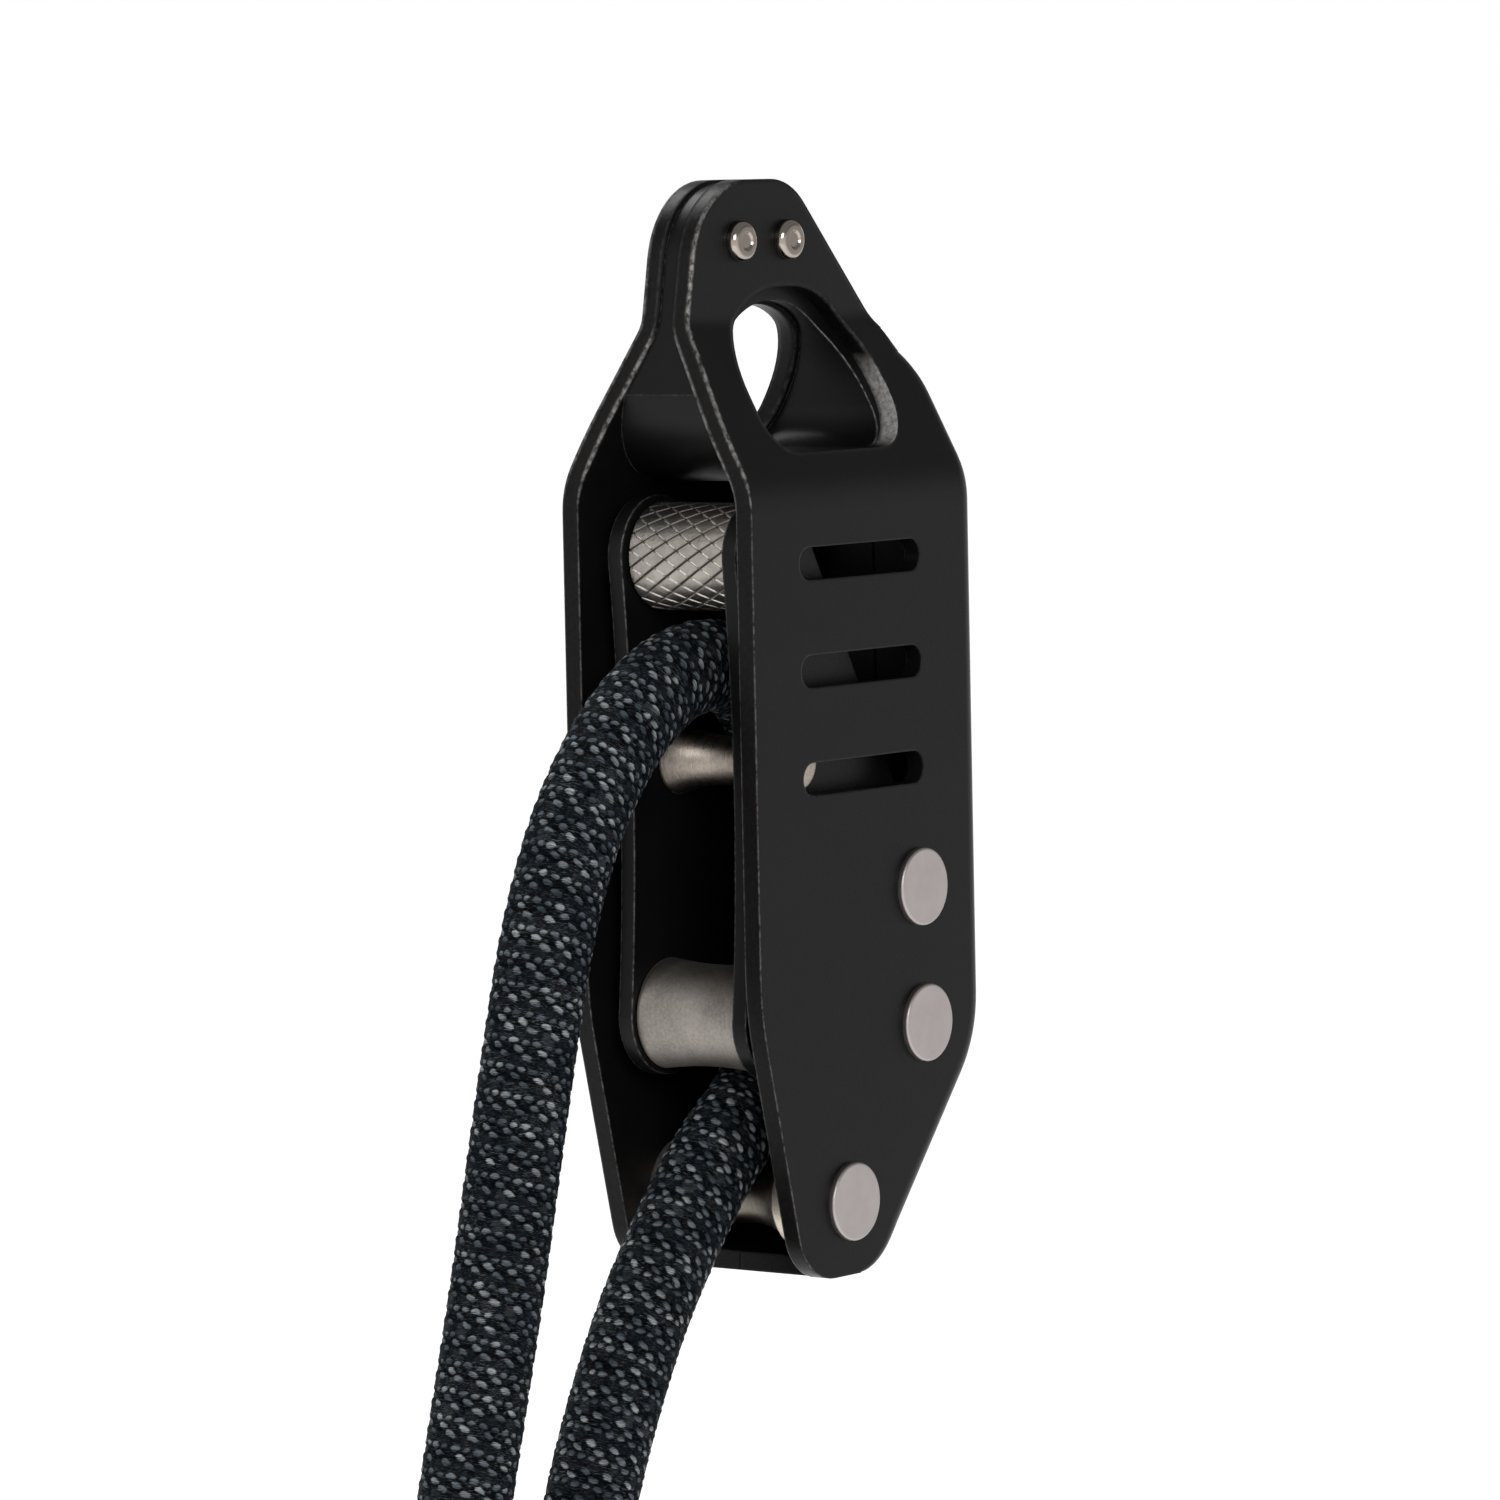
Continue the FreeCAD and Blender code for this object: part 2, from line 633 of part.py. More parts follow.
def foot_roller():
    half = COLLAR_INNER - SIDE_PLAY
    return waisted(FOOT_AXIS, half, FOOT_FLANGE, FOOT_WAIST, SHANK_RADIUS + RUNNING_PLAY)


def route_radii(route):
    """Largest corner arcs that the runs allow, printed with the tightest."""
    radii = [0.0]
    for i in range(1, len(route) - 1):
        a, b, c = route[i - 1], route[i], route[i + 1]
        run = min(math.dist(a, b), math.dist(b, c))
        turn = turn_between(unit(a, b), unit(b, c))
        radii.append(ARC_SHARE * run / math.tan(turn / 2))
    radii.append(0.0)
    return radii


def rope():
    radii = route_radii(ROPE_ROUTE)
    print("rope corner radii:", [round(r, 1) for r in radii[1:-1]])
    path = Part.Wire(path_edges(ROPE_ROUTE, radii, in_front_view(0.0), False))
    start, second = ROPE_ROUTE[0], ROPE_ROUTE[1]
    ux, uz = unit(start, second)
    circle = Part.makeCircle(ROPE_RADIUS, vec(start[0], 0, start[1]), vec(ux, 0, uz))
    body = path.makePipeShell([Part.Wire([circle])], True, True)
    print("rope length:", round(path.Length, 1), "volume share:",
          round(body.Volume / (math.pi * ROPE_RADIUS ** 2 * path.Length), 4))
    return body


def end_sleeve(end, inward):
    """Shrunk sleeve that closes one end of the rope; inward points up the rope."""
    base = vec(end[0] - inward[0] * SLEEVE_CAP, 0, end[1] - inward[1] * SLEEVE_CAP)
    axis = vec(inward[0], 0, inward[1])
    outer = Part.makeCylinder(ROPE_RADIUS + SLEEVE_GAP + SLEEVE_WALL, SLEEVE_LENGTH, base, axis)
    bore = Part.makeCylinder(ROPE_RADIUS + SLEEVE_GAP, SLEEVE_LENGTH, vec(end[0], 0, end[1]), axis)
    return outer.cut(bore)


def rope_end_sleeves():
    first = end_sleeve(ROPE_ROUTE[0], unit(ROPE_ROUTE[0], ROPE_ROUTE[1]))
    last = end_sleeve(ROPE_ROUTE[-1], unit(ROPE_ROUTE[-1], ROPE_ROUTE[-2]))
    return Part.makeCompound([first, last])


def build():
    plate = carriage_plate()
    washer = pivot_washer()
    collar = foot_collar()
    return {
        "front_shell": shell(front_eye()),
        "back_shell": mirrored(shell(back_eye())),
        "head_spacer": wedge_block(),
        "head_rivets": Part.makeCompound([top_rivet(axis) for axis in top_rivet_axes()]),
        "pivot_rivet": flat_rivet(PIVOT_AXIS, FLAT_HEAD_RADIUS, FLAT_HEAD_HEIGHT, BODY_HALF, SHANK_RADIUS),
        "stop_rivet": flat_rivet(STOP_AXIS, FLAT_HEAD_RADIUS, FLAT_HEAD_HEIGHT, BODY_HALF, SHANK_RADIUS),
        "foot_rivet": flat_rivet(FOOT_AXIS, FLAT_HEAD_RADIUS, FLAT_HEAD_HEIGHT, BODY_HALF, SHANK_RADIUS),
        "stop_sleeve": tube(STOP_AXIS, STOP_SLEEVE_RADIUS, SHANK_RADIUS + RIVET_PLAY, -BODY_INNER, BODY_INNER),
        "pivot_washers": Part.makeCompound([washer, mirrored(washer)]),
        "foot_collars": Part.makeCompound([collar, mirrored(collar)]),
        "foot_roller": foot_roller(),
        "carriage_front_plate": plate,
        "carriage_back_plate": mirrored(plate),
        "carriage_hub": tube(PIVOT_AXIS, HUB_RADIUS, SHANK_RADIUS + RUNNING_PLAY,
                             -CARRIAGE_INNER_HALF, CARRIAGE_INNER_HALF),
        "knurled_drum": knurled_drum(),
        "drum_rivet": carriage_rivet(DRUM_AXIS, DRUM_HEAD_RADIUS),
        "middle_roller": middle_roller(),
        "middle_rivet": carriage_rivet(MIDDLE_AXIS, CARRIAGE_HEAD_RADIUS),
        "lower_roller": lower_roller(),
        "lower_roller_bush": lower_bush(),
        "lower_rivet": carriage_rivet(LOWER_AXIS, CARRIAGE_HEAD_RADIUS),
        "rope": rope(),
        "rope_end_sleeves": rope_end_sleeves(),
    }


def main():
    os.makedirs("parts", exist_ok=True)
    for name, shape in build().items():
        print(name, "solids", len(shape.Solids), "valid", shape.isValid(), "volume", round(shape.Volume, 1))
        shape.exportStep(f"parts/{name}.step")


main()
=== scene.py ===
"""Looks of the rope ascender: materials, braided rope, knurled drum, light and camera."""

import bpy
import numpy as np
from mathutils import Matrix, Vector

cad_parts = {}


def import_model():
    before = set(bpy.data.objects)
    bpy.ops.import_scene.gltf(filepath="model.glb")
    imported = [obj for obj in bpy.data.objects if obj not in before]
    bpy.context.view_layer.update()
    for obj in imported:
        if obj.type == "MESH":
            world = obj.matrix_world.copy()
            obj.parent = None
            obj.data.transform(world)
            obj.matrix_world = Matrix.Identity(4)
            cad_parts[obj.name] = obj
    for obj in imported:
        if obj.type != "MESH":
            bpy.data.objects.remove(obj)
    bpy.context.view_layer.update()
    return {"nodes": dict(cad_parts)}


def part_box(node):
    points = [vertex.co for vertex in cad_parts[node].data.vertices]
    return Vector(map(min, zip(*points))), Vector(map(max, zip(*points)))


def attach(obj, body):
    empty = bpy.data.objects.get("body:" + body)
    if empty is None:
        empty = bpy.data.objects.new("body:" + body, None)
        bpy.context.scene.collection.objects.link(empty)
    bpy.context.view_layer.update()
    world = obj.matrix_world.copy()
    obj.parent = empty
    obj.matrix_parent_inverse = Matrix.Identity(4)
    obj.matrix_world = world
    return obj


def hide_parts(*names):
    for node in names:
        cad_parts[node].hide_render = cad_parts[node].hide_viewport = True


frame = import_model()
nodes = frame["nodes"]

# ---------------------------------------------------------------- rope facts
ROPE_DIAMETER = 0.011
ROPE_ROUTE = [  # the spline's points in X and Z, in metres; the rope lies in the mid plane
    (-0.0666, -0.1486),
    (-0.0631, -0.1340),
    (-0.0590, -0.1195),
    (-0.0548, -0.1050),
    (-0.0513, -0.0910),
    (-0.0478, -0.0775),
    (-0.0439, -0.0635),
    (-0.0378, -0.0508),
    (-0.0286, -0.0406),
    (-0.0184, -0.0350),
    (-0.0082, -0.0348),
    (-0.0004, -0.0406),
    (0.0016, -0.0515),
    (0.0009, -0.0645),
    (0.0019, -0.0772),
    (-0.0033, -0.0871),
    (-0.0126, -0.0931),
    (-0.0202, -0.1014),
    (-0.0269, -0.1097),
    (-0.0319, -0.1180),
    (-0.0361, -0.1264),
    (-0.0394, -0.1347),
    (-0.0419, -0.1429),
]
ROPE_MIDDLE = (0.00125, 0.0, -0.058)  # where the two halves meet, inside the device
COLUMNS = 12                # repeats of the sheath's pattern round the rope
REPEAT = 0.00316            # length of one repeat along the rope
DRIFT = 1                   # repeats by which the rows climb in one turn
RELIEF = 0.00022            # height of the plumpest yarn over the hollows
RELIEF_INSIDE = 0.75        # share of the relief that lies inside the rope's own diameter
ROPE_AROUND = 120           # points round the rope
SWAY_ACROSS = 0.11          # how far a yarn strays, in repeats
SWAY_ALONG = 0.10
YARN_PAINTED_LIGHT = 0.16            # painted light: how much a yarn pales towards its upper end
# yarns showing in one repeat: across, along, half width, half length, slant, height, kind
YARNS = [
    (0.00, 0.00, 0.33, 0.36, 0.25, 0.80, "dim"),
    (0.56, -0.12, 0.28, 0.36, 0.25, 0.70, "dark"),
    (0.26, -0.27, 0.26, 0.150, 0.45, 1.00, "light"),
    (0.56, 0.19, 0.24, 0.140, -0.35, 1.00, "light"),
    (-0.16, 0.47, 0.25, 0.145, 0.40, 0.95, "light"),
    (0.08, 0.20, 0.19, 0.110, -0.40, 0.95, "light"),
]

# ---------------------------------------------------------------- drum facts
DRUM_RADIUS = 0.00645       # over the knurl's points
KNURL_STARTS = 19
KNURL_PITCH = 0.00345       # along the axis
KNURL_DEPTH = 0.00018
KNURL_GROOVE = 0.15         # share of the pitch that the groove's walls take
KNURL_CROWN = 0.15          # share of the depth by which the points rise over the groove's walls
GROOVE_REACH = 1.25         # the painted shade in a groove ends at this share of its wall, and is full 1 further in
GLINT_START = 0.30          # a painted glint starts this far from the other way's grooves, where 1 is midway,
GLINT_RISE = 0.25           # and is full this much further on
DRUM_CHAMFER = 0.0005
CHAMFER_FALL = 1.1          # how steeply the radius falls over the chamfer
DRUM_AROUND = 540           # points round the drum
DRUM_ROWS = 170

# ---------------------------------------------------------------- shell facts
# a pair says where a mask starts and where it is full
SPINE_X = (0.020, 0.016)            # the spine, right of this, has no sawn edge
SLOT_X = (-0.005, -0.003)           # the slots' right ends lie right of this,
SLOT_LOW = (-0.077, -0.075)         # above this
SLOT_HIGH = (-0.018, -0.020)        # and below this
EYE_HIGHLIGHT_MIDDLE = (0.013, 0.0, -0.005)     # middle of the painted highlight on the eye's edge
EYE_REACH = (0.0035, 0.0065)        # painted highlight within the first, black beyond the second
FRONT_Y = (-0.001, 0.001)           # the front shell lies before this
PARTING_Y = (0.0012, 0.0022)        # the parting of the two spine walls, on either side of the mid plane
LEFT_X = (-0.009, -0.011)           # the shells' left edges, where the wear and painted highlight are full; elsewhere they are weak
HEAD_Z = (-0.016, -0.010)           # the head lies above this
EDGE_COSINE = (0.985, 0.86)         # between face and softened normal: still a face, fully an edge
EDGE_WIDTH = 0.0004                 # softened width of an edge
HEAD_EDGE_WIDTH = 0.0010
BEVEL_SAMPLES = 6
HEAD_EDGE_HIGHLIGHT = (0.40, 0.388, 0.374)    # paler edges of the head: painted highlight
# painted highlight on the front eye's edge
EYE_HIGHLIGHT = (0.38, 0.370, 0.356)
TURNED_RIM_HIGHLIGHT = 2.6                    # how much paler the rims of turned steel are, as a painted highlight

# ---------------------------------------------------------------- stage facts
FLOOR_Z = -0.42
FLOOR_HALF = 30.0           # half the floor's width
FLOOR_GLOW = 0.75           # lifts the lit floor to white where it is seen
SWEEP_TOP = (0.09, 0.32)    # height of a direction at which the sweep starts to dim and has dimmed
CEILING = 0.30              # brightness over the object, where the sweep is 1


# ---------------------------------------------------------------- node helpers
class Tree:
    """Short hand for building a material's nodes."""

    def __init__(self, name):
        self.mat = bpy.data.materials.new(name)
        self.mat.use_nodes = True
        self.nt = self.mat.node_tree
        self.nt.nodes.clear()
        self.out = self.nt.nodes.new("ShaderNodeOutputMaterial")
        self.bsdf = self.nt.nodes.new("ShaderNodeBsdfPrincipled")
        self.link(self.bsdf.outputs[0], self.out.inputs[0])

    def link(self, a, b):
        self.nt.links.new(a, b)

    def put(self, value, socket):
        """Link a socket's value, or set a constant."""
        if isinstance(value, bpy.types.NodeSocket):
            self.link(value, socket)
        else:
            socket.default_value = value

    def set(self, **values):
        """Set or link inputs of the surface by name."""
        for key, value in values.items():
            self.put(value, self.bsdf.inputs[key.replace("_", " ")])

    def math(self, op, a, b=0.0, clamp=False):
        n = self.nt.nodes.new("ShaderNodeMath")
        n.operation = op
        n.use_clamp = clamp
        self.put(a, n.inputs[0])
        self.put(b, n.inputs[1])
        return n.outputs[0]

    def times(self, first, *others):
        """Product of several values."""
        for other in others:
            first = self.math("MULTIPLY", first, other)
        return first

    def split(self, vector):
        """The three parts of a vector."""
        n = self.nt.nodes.new("ShaderNodeSeparateXYZ")
        self.link(vector, n.inputs[0])
        return n.outputs

    def attribute(self, name):
        """A value kept on the mesh."""
        n = self.nt.nodes.new("ShaderNodeAttribute")
        n.attribute_name = name
        return n.outputs["Fac"]

    def coords(self, kind="Object", scale=(1, 1, 1)):
        """The place on the piece, or another kind of coordinate."""
        t = self.nt.nodes.new("ShaderNodeTexCoord")
        m = self.nt.nodes.new("ShaderNodeMapping")
        m.inputs["Scale"].default_value = scale
        self.link(t.outputs[kind], m.inputs["Vector"])
        return m.outputs[0]

    def noise(self, vector, scale, detail, rough):
        n = self.nt.nodes.new("ShaderNodeTexNoise")
        self.link(vector, n.inputs["Vector"])
        n.inputs["Scale"].default_value = scale
        n.inputs["Detail"].default_value = detail
        n.inputs["Roughness"].default_value = rough
        return n.outputs["Fac"]

    def ramp(self, fac, stops):
        """Colour ramp; a stop is a position and a colour."""
        n = self.nt.nodes.new("ShaderNodeValToRGB")
        e = n.color_ramp.elements
        while len(e) < len(stops):
            e.new(0.5)
        for k, (pos, col) in enumerate(stops):
            e[k].position = pos
            e[k].color = (*col, 1.0)
        self.put(fac, n.inputs[0])
        return n.outputs[0]

    def value(self, fac, low, high, out_low, out_high):
        """fac, mapped from low..high to out_low..out_high and held there."""
        n = self.nt.nodes.new("ShaderNodeMapRange")
        self.put(fac, n.inputs[0])
        for k, v in enumerate((low, high, out_low, out_high)):
            n.inputs[k + 1].default_value = v
        return n.outputs[0]

    def mix(self, fac, a, b):
        n = self.nt.nodes.new("ShaderNodeMix")
        n.data_type = "RGBA"
        self.put(fac, n.inputs[0])
        for v, s in ((a, n.inputs[6]), (b, n.inputs[7])):
            self.put((*v, 1.0) if isinstance(v, tuple) and len(v) == 3 else v, s)
        return n.outputs[2]

    def shade(self, colour, factor):
        """The colour made lighter or darker by a factor."""
        n = self.nt.nodes.new("ShaderNodeVectorMath")
        n.operation = "SCALE"
        self.link(colour, n.inputs[0])
        self.link(factor, n.inputs["Scale"])
        return n.outputs[0]

    def bump(self, height, strength, distance, normal=None):
        n = self.nt.nodes.new("ShaderNodeBump")
        n.inputs["Strength"].default_value = strength
        n.inputs["Distance"].default_value = distance
        self.link(height, n.inputs["Height"])
        if normal is not None:
            self.link(normal, n.inputs["Normal"])
        return n.outputs[0]

    def rounded(self, radius):
        """Normal that runs softly over the edges."""
        n = self.nt.nodes.new("ShaderNodeBevel")
        n.samples = BEVEL_SAMPLES
        self.put(radius, n.inputs["Radius"])
        return n.outputs[0]

    def dot(self, a, b):
        n = self.nt.nodes.new("ShaderNodeVectorMath")
        n.operation = "DOT_PRODUCT"
        self.link(a, n.inputs[0])
        self.put(b, n.inputs[1])
        return n.outputs["Value"]

    def edges(self, normal):
        """1 on the edges, 0 on the faces, from the softened normal."""
        g = self.nt.nodes.new("ShaderNodeNewGeometry")
        return self.value(self.dot(normal, g.outputs["Normal"]), *EDGE_COSINE, 0.0, 1.0)


def anodised(name, base, rough, grain, gloss, edge_wear_and_highlight=0.16, cut=None):
    """Black anodised aluminium: satin with a fine blasted grain, its edges paler as wear and as a painted
    highlight.

    cut is given for the shells alone: the colour of their sawn and pressed edges, which face
    neither front nor back.
    """
    t = Tree(name)
    p = t.coords()
    fine = t.noise(p, 5200, 2, 0.6)
    cloud = t.noise(p, 90, 4, 0.6)
    body = t.ramp(cloud, [(0.25, [c * 0.85 for c in base]), (0.75, [c * 1.15 for c in base])])
    chips = t.value(t.noise(p, 1300, 3, 0.7), 0.38, 0.62, 0.1, 1.0)
    height, width, tone, keep = fine, EDGE_WIDTH, (edge_wear_and_highlight, edge_wear_and_highlight * 0.96, edge_wear_and_highlight * 0.92), 1.0
    if cut:
        x, y, z = t.split(p)
        # painted shade: the slots' right ends keep the black of the face, not the sawn colour
        slot_end_shade = t.times(t.value(x, *SLOT_X, 0.0, 1.0), t.value(z, *SLOT_LOW, 0.0, 1.0),
                       t.value(z, *SLOT_HIGH, 0.0, 1.0))
        sideways = t.value(t.math("ABSOLUTE", t.split(t.coords("Normal"))[1]), 0.5, 0.3, 0.0, 1.0)
        sawn = t.times(sideways, t.value(x, *SPINE_X, 0.0, 1.0), t.math("SUBTRACT", 1.0, slot_end_shade))
        tooth = t.noise(p, 1700, 3, 0.7)
        rough_cut = t.ramp(tooth, [(0.3, [c * 0.45 for c in cut]), (0.7, [c * 1.6 for c in cut])])
        # painted highlight: the front shell's eye edge is pale on a stretch at its right
        flat = t.nt.nodes.new("ShaderNodeCombineXYZ")
        t.link(x, flat.inputs[0])
        t.link(z, flat.inputs[2])
        away = t.nt.nodes.new("ShaderNodeVectorMath")
        away.operation = "DISTANCE"
        t.link(flat.outputs[0], away.inputs[0])
        away.inputs[1].default_value = EYE_HIGHLIGHT_MIDDLE
        eye_highlight_mask = t.times(t.value(away.outputs["Value"], *EYE_REACH, 1.0, 0.0),
                       t.value(y, *FRONT_Y, 1.0, 0.0), t.value(tooth, 0.30, 0.60, 0.35, 1.0))
        body = t.mix(sawn, body, t.mix(eye_highlight_mask, rough_cut, EYE_HIGHLIGHT))
        height = t.math("ADD", fine, t.times(tooth, sawn, 1.5))
        # the left edges are paler, as wear and painted highlight, at the head wider and brighter; the
        # parting stays black
        top = t.value(z, *HEAD_Z, 0.0, 1.0)
        width = t.value(top, 0.0, 1.0, EDGE_WIDTH, HEAD_EDGE_WIDTH)
        tone = t.mix(top, tone, HEAD_EDGE_HIGHLIGHT)
        keep = t.times(t.value(t.math("ABSOLUTE", y), *PARTING_Y, 0.0, 1.0),
                       t.value(x, *LEFT_X, 0.15, 1.0))
    soft = t.rounded(width)
    # painted highlight: edges whose softened normal faces left are paler than the rest
    leftwards = t.value(t.split(soft)[0], 0.1, -0.45, 0.12, 1.0)
    wear_and_highlight = t.times(t.edges(soft), keep, leftwards, chips)
    t.set(Base_Color=t.mix(wear_and_highlight, body, tone))
    t.set(Metallic=t.times(wear_and_highlight, 0.3), Specular_IOR_Level=gloss)
    t.set(Roughness=t.value(fine, 0.3, 0.7, rough - 0.05, rough + 0.06))
    t.set(Normal=t.bump(height, grain, 0.00006, soft))
    return t.mat


def turned(name, base, rough, rings=0.5):
    """Turned steel: fine lines round the axis, a soft cloudy stain and rims painted paler as a highlight.
    """
    t = Tree(name)
    lines = t.noise(t.coords(scale=(40, 9000, 40)), 1.0, 4, 0.7)
    grit = t.noise(t.coords(), 2600, 3, 0.7)
    stain = t.noise(t.coords(), 160, 4, 0.6)
    tone = t.math("ADD", t.times(stain, 0.55), t.times(grit, 0.45))
    steel = t.ramp(tone, [(0.35, [c * 0.70 for c in base]), (0.65, [min(1, c * 1.25) for c in base])])
    soft = t.rounded(0.0005)
    # painted highlight: the rims are paler than the rest of the steel
    t.set(Base_Color=t.mix(t.edges(soft), steel, tuple(min(0.9, c * TURNED_RIM_HIGHLIGHT) for c in base)))
    t.set(Metallic=1.0, Roughness=t.value(lines, 0.3, 0.7, rough - 0.07, rough + 0.1))
    t.set(Normal=t.bump(t.math("ADD", lines, grit), rings, 0.00004, soft))
    return t.mat


def flat_steel(name, base, rough, grain=0.25, face=1.0):
    """Pressed rivet head with a fine grain; face, under 1, paints shade on the flats that look forwards and
    backwards.
    """
    t = Tree(name)
    p = t.coords()
    fine = t.noise(p, 6500, 2, 0.6)
    cloud = t.noise(p, 240, 3, 0.6)
    tone = t.ramp(cloud, [(0.3, [c * 0.95 for c in base]), (0.7, [c * 1.05 for c in base])])
    # painted shade on the flats that look forwards and backwards
    flat = t.value(t.math("ABSOLUTE", t.split(t.coords("Normal"))[1]), 0.90, 0.985, 1.0, face)
    t.set(Base_Color=t.shade(tone, flat))
    t.set(Metallic=1.0, Roughness=t.value(fine, 0.3, 0.7, rough - 0.05, rough + 0.05))
    t.set(Normal=t.bump(fine, grain, 0.00003, t.rounded(0.00025)))
    return t.mat


def knurl_steel():
    """Rolled steel: grooves of one way round painted dark as shade, and painted glints the other way."""
    t = Tree("knurled_steel")
    p = t.coords()
    stain = t.noise(p, 420, 4, 0.65)
    fine = t.noise(p, 3800, 3, 0.6)
    point_tone = t.ramp(stain, [(0.3, (0.25, 0.228, 0.205)), (0.7, (0.38, 0.352, 0.320))])
    # painted highlight along the grooves of the other way
    glint = t.times(t.attribute("glint"), t.value(fine, 0.35, 0.6, 0.5, 1.0))
    lit = t.mix(glint, point_tone, (0.95, 0.92, 0.88))
    # painted shade: the grooves of one way round are dark
    t.set(Base_Color=t.mix(t.attribute("groove"), lit, (0.05, 0.044, 0.038)), Metallic=1.0)
    t.set(Roughness=t.value(fine, 0.3, 0.7, 0.30, 0.46))
    t.set(Normal=t.bump(fine, 0.8, 0.00006))
    return t.mat


def plain(name, base, rough, metallic=0.0):
    """One colour with a fine grain."""
    t = Tree(name)
    fine = t.noise(t.coords(), 2600, 3, 0.6)
    tone = t.ramp(fine, [(0.3, [c * 0.85 for c in base]), (0.7, [min(1, c * 1.15) for c in base])])
    t.set(Base_Color=tone)
    t.set(Metallic=metallic, Roughness=rough, Normal=t.bump(fine, 0.35, 0.00008, t.rounded(0.0003)))
    return t.mat


def braid():
    """Braided sheath, read from the tube's own map: U counts repeats round it, V repeats along it."""
    t = Tree("rope_sheath")
    uv = t.nt.nodes.new("ShaderNodeUVMap")
    uv.uv_map = "braid"
    even_u, even_v, _ = t.split(uv.outputs[0])
    p = t.coords()
    # the yarns lie a little unevenly
    u = t.math("ADD", even_u, t.value(t.noise(p, 420, 2, 0.5), 0.0, 1.0, -SWAY_ACROSS, SWAY_ACROSS))
    v = t.math("ADD", even_v, t.value(t.noise(p, 510, 2, 0.5), 0.0, 1.0, -SWAY_ALONG, SWAY_ALONG))

    cells = {}
    height = None
    for across, along, half_u, half_v, slant, top, kind in YARNS:
        du = t.math("SUBTRACT", u, across)
        dv = t.math("SUBTRACT", v, along)
        iu = t.math("FLOOR", t.math("ADD", du, 0.5))
        iv = t.math("FLOOR", t.math("ADD", dv, 0.5))
        fu = t.math("SUBTRACT", du, iu)
        fv = t.math("SUBTRACT", dv, iv)
        fu = t.math("SUBTRACT", fu, t.times(fv, slant))
        x = t.math("DIVIDE", fu, half_u)
        y = t.math("DIVIDE", fv, half_v)
        crown = t.math("SUBTRACT", 1.0, t.math("ADD", t.times(x, x), t.times(y, y)), clamp=True)
        cells.setdefault(kind, []).append((crown, iu, iv, x, y))
        lift = t.times(t.math("SQRT", crown), top)
        height = lift if height is None else t.math("MAXIMUM", height, lift)

    def yarn(kind, seed):
        """Cover of this kind of yarn, a number that differs from yarn to yarn, and its filaments' shade
        with the painted light along the yarn.
        """
        cover, lot, fibre = None, None, None
        for k, (crown, iu, iv, x, y) in enumerate(cells[kind]):
            one = t.nt.nodes.new("ShaderNodeCombineXYZ")
            t.link(iu, one.inputs[0])
            t.link(iv, one.inputs[1])
            one.inputs[2].default_value = seed + k
            white = t.nt.nodes.new("ShaderNodeTexWhiteNoise")
            t.link(one.outputs[0], white.inputs[0])
            thread = t.nt.nodes.new("ShaderNodeCombineXYZ")
            t.link(t.math("ADD", t.times(y, 2.6), t.times(x, 0.5)), thread.inputs[0])
            t.link(t.times(x, 0.35), thread.inputs[1])
            t.link(t.times(white.outputs[0], 40.0), thread.inputs[2])
            hair = t.noise(thread.outputs[0], 2.1, 3, 0.65)
            frayed = t.math("ADD", crown, t.value(hair, 0.3, 0.7, -0.30, 0.30))
            edge = t.value(frayed, 0.10, 0.70, 0.0, 1.0)
            # painted light: the yarn pales towards one end
            hair = t.math("SUBTRACT", hair, t.times(y, YARN_PAINTED_LIGHT))
            if cover is None:
                cover, lot, fibre = edge, white.outputs[0], hair
            else:
                pick = t.math("GREATER_THAN", edge, cover)
                other = t.math("SUBTRACT", 1.0, pick)
                lot = t.math("ADD", t.times(pick, white.outputs[0]), t.times(other, lot))
                fibre = t.math("ADD", t.times(pick, hair), t.times(other, fibre))
                cover = t.math("MAXIMUM", cover, edge)
        return cover, lot, fibre

    light, light_lot, light_hair = yarn("light", 1.0)
    dim, dim_lot, dim_hair = yarn("dim", 11.0)
    dark, dark_lot, _ = yarn("dark", 21.0)
    ground = (0.0006, 0.0010, 0.0016)
    dark_tone = t.ramp(dark_lot, [(0.0, (0.0012, 0.0016, 0.0042)), (0.5, (0.0012, 0.0026, 0.0036)),
                                  (1.0, (0.0030, 0.0034, 0.0042))])
    dim_tone = t.ramp(dim_lot, [(0.0, (0.0025, 0.0032, 0.0065)), (0.4, (0.0070, 0.0074, 0.0088)),
                                (0.75, (0.0030, 0.0050, 0.0062)), (1.0, (0.024, 0.026, 0.029))])
    light_tone = t.ramp(light_lot, [(0.0, (0.036, 0.046, 0.056)), (0.35, (0.078, 0.093, 0.107)),
                                    (0.7, (0.135, 0.152, 0.166)), (1.0, (0.270, 0.292, 0.306))])
    colour = t.mix(dark, ground, dark_tone)
    colour = t.mix(dim, colour, t.shade(dim_tone, t.value(dim_hair, 0.3, 0.7, 0.15, 1.70)))
    colour = t.mix(light, colour, t.shade(light_tone, t.value(light_hair, 0.3, 0.7, 0.12, 1.75)))
    t.set(Base_Color=colour, Roughness=0.65, Specular_IOR_Level=0.02)
    hair = t.math("ADD", t.times(light_hair, light), t.times(dim_hair, dim))
    coarse = t.bump(height, 0.6, RELIEF)
    t.set(Normal=t.bump(hair, 0.6, 0.00010, coarse))
    return t.mat


